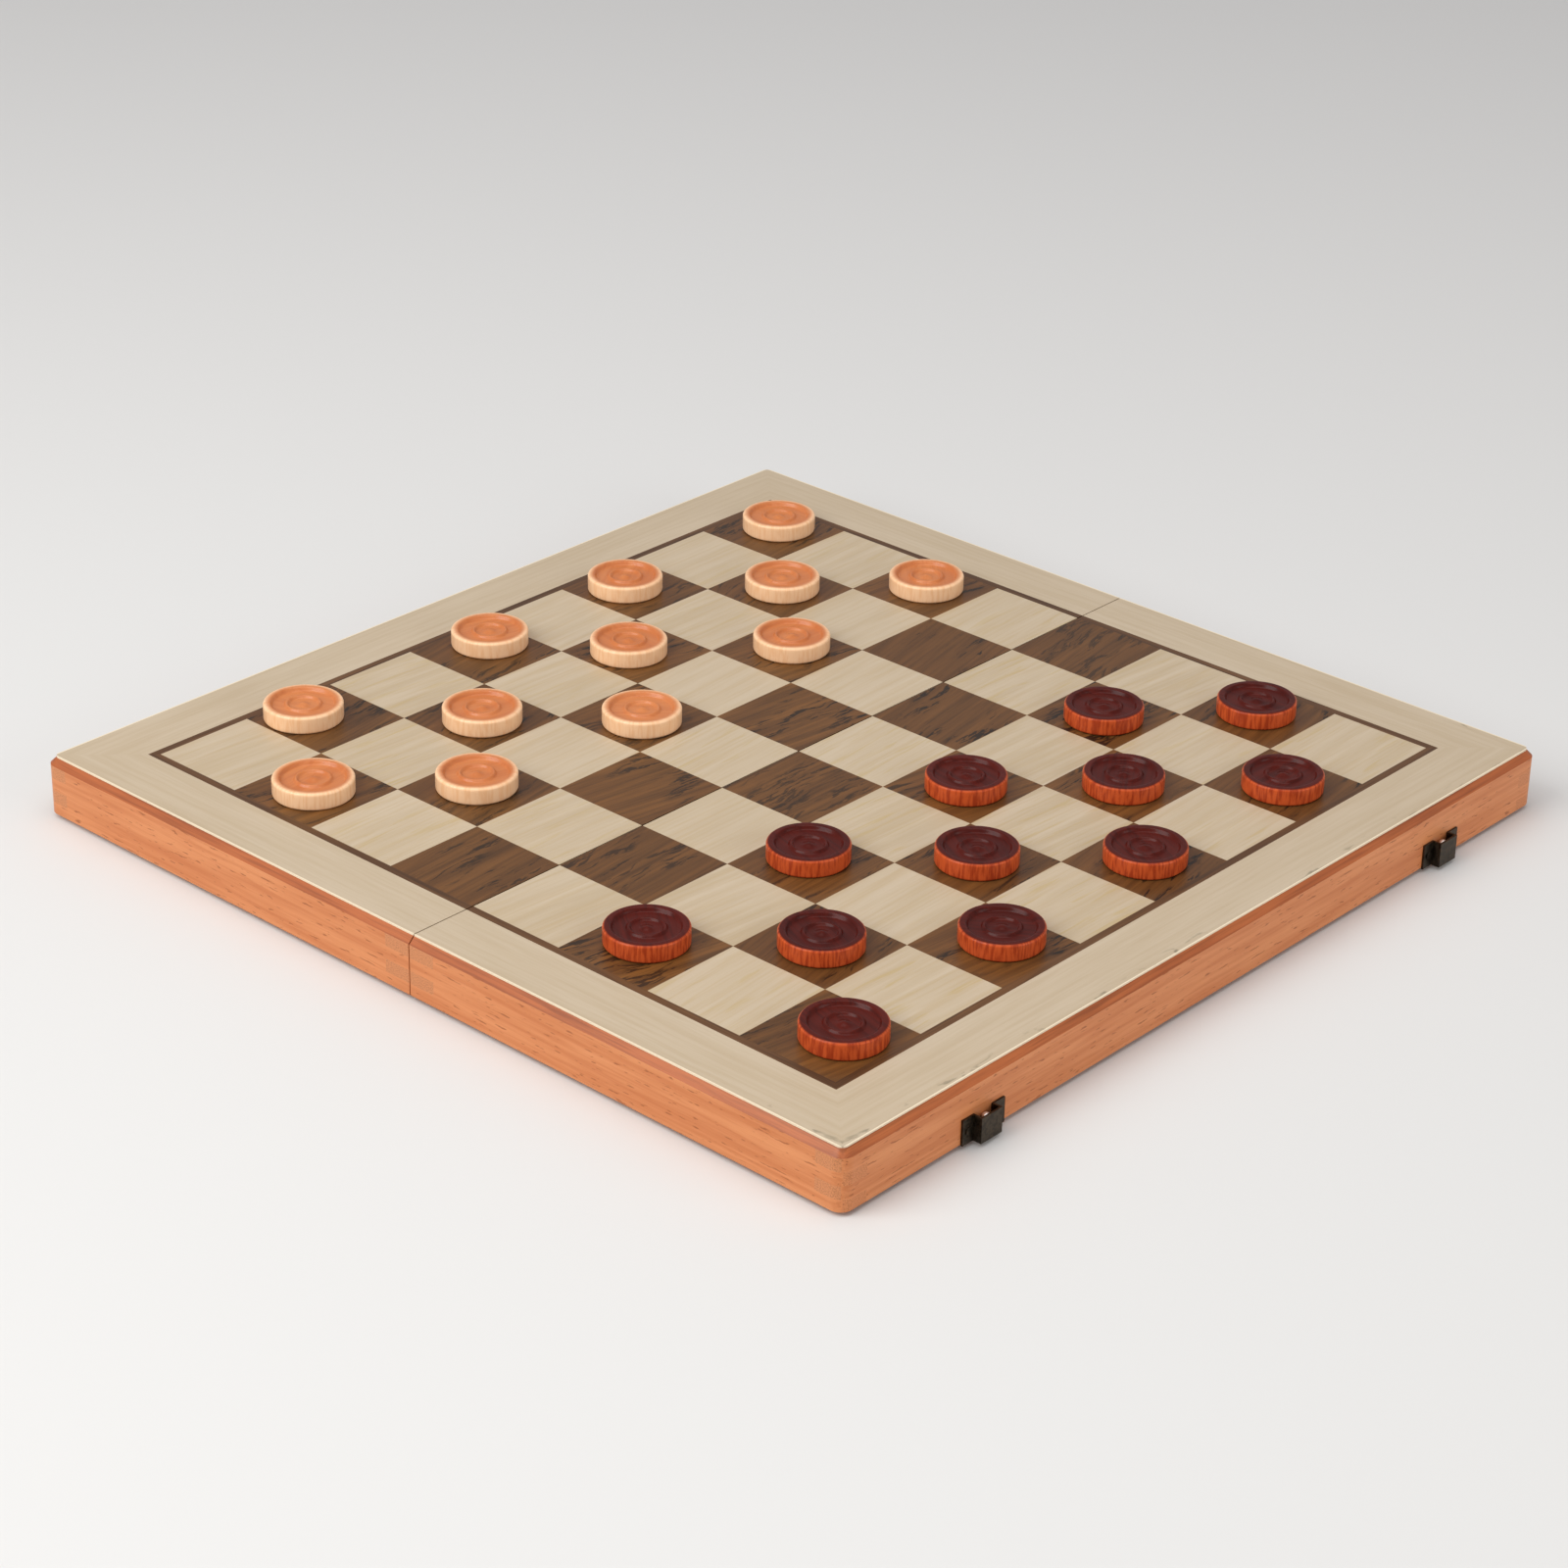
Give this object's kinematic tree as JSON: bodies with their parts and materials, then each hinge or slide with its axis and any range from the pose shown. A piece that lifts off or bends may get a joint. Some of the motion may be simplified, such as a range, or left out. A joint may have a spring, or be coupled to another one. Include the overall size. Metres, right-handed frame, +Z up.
{
  "type": "folding chess and backgammon set",
  "caption": "Folding wooden games board: two hinged trays with an inlaid chequered top, a backgammon field inside, catches and turned draughts.",
  "frame": {"origin": "on the table under the middle of the open board, on the seam line at the lowest point of the hinge barrels", "axes": "+Z up, X along the seam and the hinge pins, -Y towards the front half that carries the dark draughts"},
  "size_m": [0.39, 0.3984, 0.0312],
  "materials": {
    "panel_wood": "stained plywood edge under clear varnish",
    "wall_wood": "varnished steamed beech",
    "pale_veneer": "pale veneer under satin varnish",
    "dark_veneer": "streaked walnut veneer under satin varnish",
    "field_veneer": "mid brown veneer under satin varnish",
    "draught_dark": "turned, stained dark on the faces, glossy lacquer",
    "draught_light": "turned, clear satin lacquer",
    "dark_bronze": "blackened folded sheet, rubbed at the edges",
    "nickel": "nickel plated",
    "hinge_brass": "brushed brass",
    "steel": "bright zinc"
  },
  "bodies": {
    "front_half": {"front_panel": "panel_wood", "front_outer_wall": "wall_wood", "front_centre_wall": "wall_wood", "front_left_wall": "wall_wood", "front_right_wall": "wall_wood", "front_border_veneer": "pale_veneer", "front_line_inlay": "dark_veneer", "front_field_lining": "field_veneer", "front_light_points": "pale_veneer", "front_dark_points": "dark_veneer", "front_hinge_screws": "steel", "front_catch_housings": "dark_bronze", "front_catch_magnets": "nickel", "front_catch_nails": "dark_bronze", "front_light_squares": "pale_veneer", "front_dark_squares": "dark_veneer", "front_hinge_leaves": "hinge_brass", "hinge_pins": "steel"},
    "back_half": {"back_panel": "panel_wood", "back_outer_wall": "wall_wood", "back_centre_wall": "wall_wood", "back_left_wall": "wall_wood", "back_right_wall": "wall_wood", "back_border_veneer": "pale_veneer", "back_line_inlay": "dark_veneer", "back_field_lining": "field_veneer", "back_light_points": "pale_veneer", "back_dark_points": "dark_veneer", "back_hinge_screws": "steel", "back_catch_housings": "dark_bronze", "back_catch_magnets": "nickel", "back_catch_nails": "dark_bronze", "back_light_squares": "pale_veneer", "back_dark_squares": "dark_veneer", "back_hinge_leaves": "hinge_brass"},
    "dark_draught_01": {"dark_draught_01": "draught_dark"},
    "dark_draught_02": {"dark_draught_02": "draught_dark"},
    "dark_draught_03": {"dark_draught_03": "draught_dark"},
    "dark_draught_04": {"dark_draught_04": "draught_dark"},
    "dark_draught_05": {"dark_draught_05": "draught_dark"},
    "dark_draught_06": {"dark_draught_06": "draught_dark"},
    "dark_draught_07": {"dark_draught_07": "draught_dark"},
    "dark_draught_08": {"dark_draught_08": "draught_dark"},
    "dark_draught_09": {"dark_draught_09": "draught_dark"},
    "dark_draught_10": {"dark_draught_10": "draught_dark"},
    "dark_draught_11": {"dark_draught_11": "draught_dark"},
    "dark_draught_12": {"dark_draught_12": "draught_dark"},
    "light_draught_01": {"light_draught_01": "draught_light"},
    "light_draught_02": {"light_draught_02": "draught_light"},
    "light_draught_03": {"light_draught_03": "draught_light"},
    "light_draught_04": {"light_draught_04": "draught_light"},
    "light_draught_05": {"light_draught_05": "draught_light"},
    "light_draught_06": {"light_draught_06": "draught_light"},
    "light_draught_07": {"light_draught_07": "draught_light"},
    "light_draught_08": {"light_draught_08": "draught_light"},
    "light_draught_09": {"light_draught_09": "draught_light"},
    "light_draught_10": {"light_draught_10": "draught_light"},
    "light_draught_11": {"light_draught_11": "draught_light"},
    "light_draught_12": {"light_draught_12": "draught_light"}
  },
  "joints": [
    {"name": "board_fold", "type": "hinge", "parent": "front_half", "child": "back_half", "pos_m": [0, 0, 0.0014], "axis": [-1, 0, 0], "range_deg": [0, 180]},
    {"name": "dark_draught_01_lift", "type": "slide", "parent": "front_half", "child": "dark_draught_01", "axis": [0, 0, 1], "range_m": [0, 0.05]},
    {"name": "dark_draught_02_lift", "type": "slide", "parent": "front_half", "child": "dark_draught_02", "axis": [0, 0, 1], "range_m": [0, 0.05]},
    {"name": "dark_draught_03_lift", "type": "slide", "parent": "front_half", "child": "dark_draught_03", "axis": [0, 0, 1], "range_m": [0, 0.05]},
    {"name": "dark_draught_04_lift", "type": "slide", "parent": "front_half", "child": "dark_draught_04", "axis": [0, 0, 1], "range_m": [0, 0.05]},
    {"name": "dark_draught_05_lift", "type": "slide", "parent": "front_half", "child": "dark_draught_05", "axis": [0, 0, 1], "range_m": [0, 0.05]},
    {"name": "dark_draught_06_lift", "type": "slide", "parent": "front_half", "child": "dark_draught_06", "axis": [0, 0, 1], "range_m": [0, 0.05]},
    {"name": "dark_draught_07_lift", "type": "slide", "parent": "front_half", "child": "dark_draught_07", "axis": [0, 0, 1], "range_m": [0, 0.05]},
    {"name": "dark_draught_08_lift", "type": "slide", "parent": "front_half", "child": "dark_draught_08", "axis": [0, 0, 1], "range_m": [0, 0.05]},
    {"name": "dark_draught_09_lift", "type": "slide", "parent": "front_half", "child": "dark_draught_09", "axis": [0, 0, 1], "range_m": [0, 0.05]},
    {"name": "dark_draught_10_lift", "type": "slide", "parent": "front_half", "child": "dark_draught_10", "axis": [0, 0, 1], "range_m": [0, 0.05]},
    {"name": "dark_draught_11_lift", "type": "slide", "parent": "front_half", "child": "dark_draught_11", "axis": [0, 0, 1], "range_m": [0, 0.05]},
    {"name": "dark_draught_12_lift", "type": "slide", "parent": "front_half", "child": "dark_draught_12", "axis": [0, 0, 1], "range_m": [0, 0.05]},
    {"name": "light_draught_01_lift", "type": "slide", "parent": "back_half", "child": "light_draught_01", "axis": [0, 0, 1], "range_m": [0, 0.05]},
    {"name": "light_draught_02_lift", "type": "slide", "parent": "back_half", "child": "light_draught_02", "axis": [0, 0, 1], "range_m": [0, 0.05]},
    {"name": "light_draught_03_lift", "type": "slide", "parent": "back_half", "child": "light_draught_03", "axis": [0, 0, 1], "range_m": [0, 0.05]},
    {"name": "light_draught_04_lift", "type": "slide", "parent": "back_half", "child": "light_draught_04", "axis": [0, 0, 1], "range_m": [0, 0.05]},
    {"name": "light_draught_05_lift", "type": "slide", "parent": "back_half", "child": "light_draught_05", "axis": [0, 0, 1], "range_m": [0, 0.05]},
    {"name": "light_draught_06_lift", "type": "slide", "parent": "back_half", "child": "light_draught_06", "axis": [0, 0, 1], "range_m": [0, 0.05]},
    {"name": "light_draught_07_lift", "type": "slide", "parent": "back_half", "child": "light_draught_07", "axis": [0, 0, 1], "range_m": [0, 0.05]},
    {"name": "light_draught_08_lift", "type": "slide", "parent": "back_half", "child": "light_draught_08", "axis": [0, 0, 1], "range_m": [0, 0.05]},
    {"name": "light_draught_09_lift", "type": "slide", "parent": "back_half", "child": "light_draught_09", "axis": [0, 0, 1], "range_m": [0, 0.05]},
    {"name": "light_draught_10_lift", "type": "slide", "parent": "back_half", "child": "light_draught_10", "axis": [0, 0, 1], "range_m": [0, 0.05]},
    {"name": "light_draught_11_lift", "type": "slide", "parent": "back_half", "child": "light_draught_11", "axis": [0, 0, 1], "range_m": [0, 0.05]},
    {"name": "light_draught_12_lift", "type": "slide", "parent": "back_half", "child": "light_draught_12", "axis": [0, 0, 1], "range_m": [0, 0.05]}
  ]
}
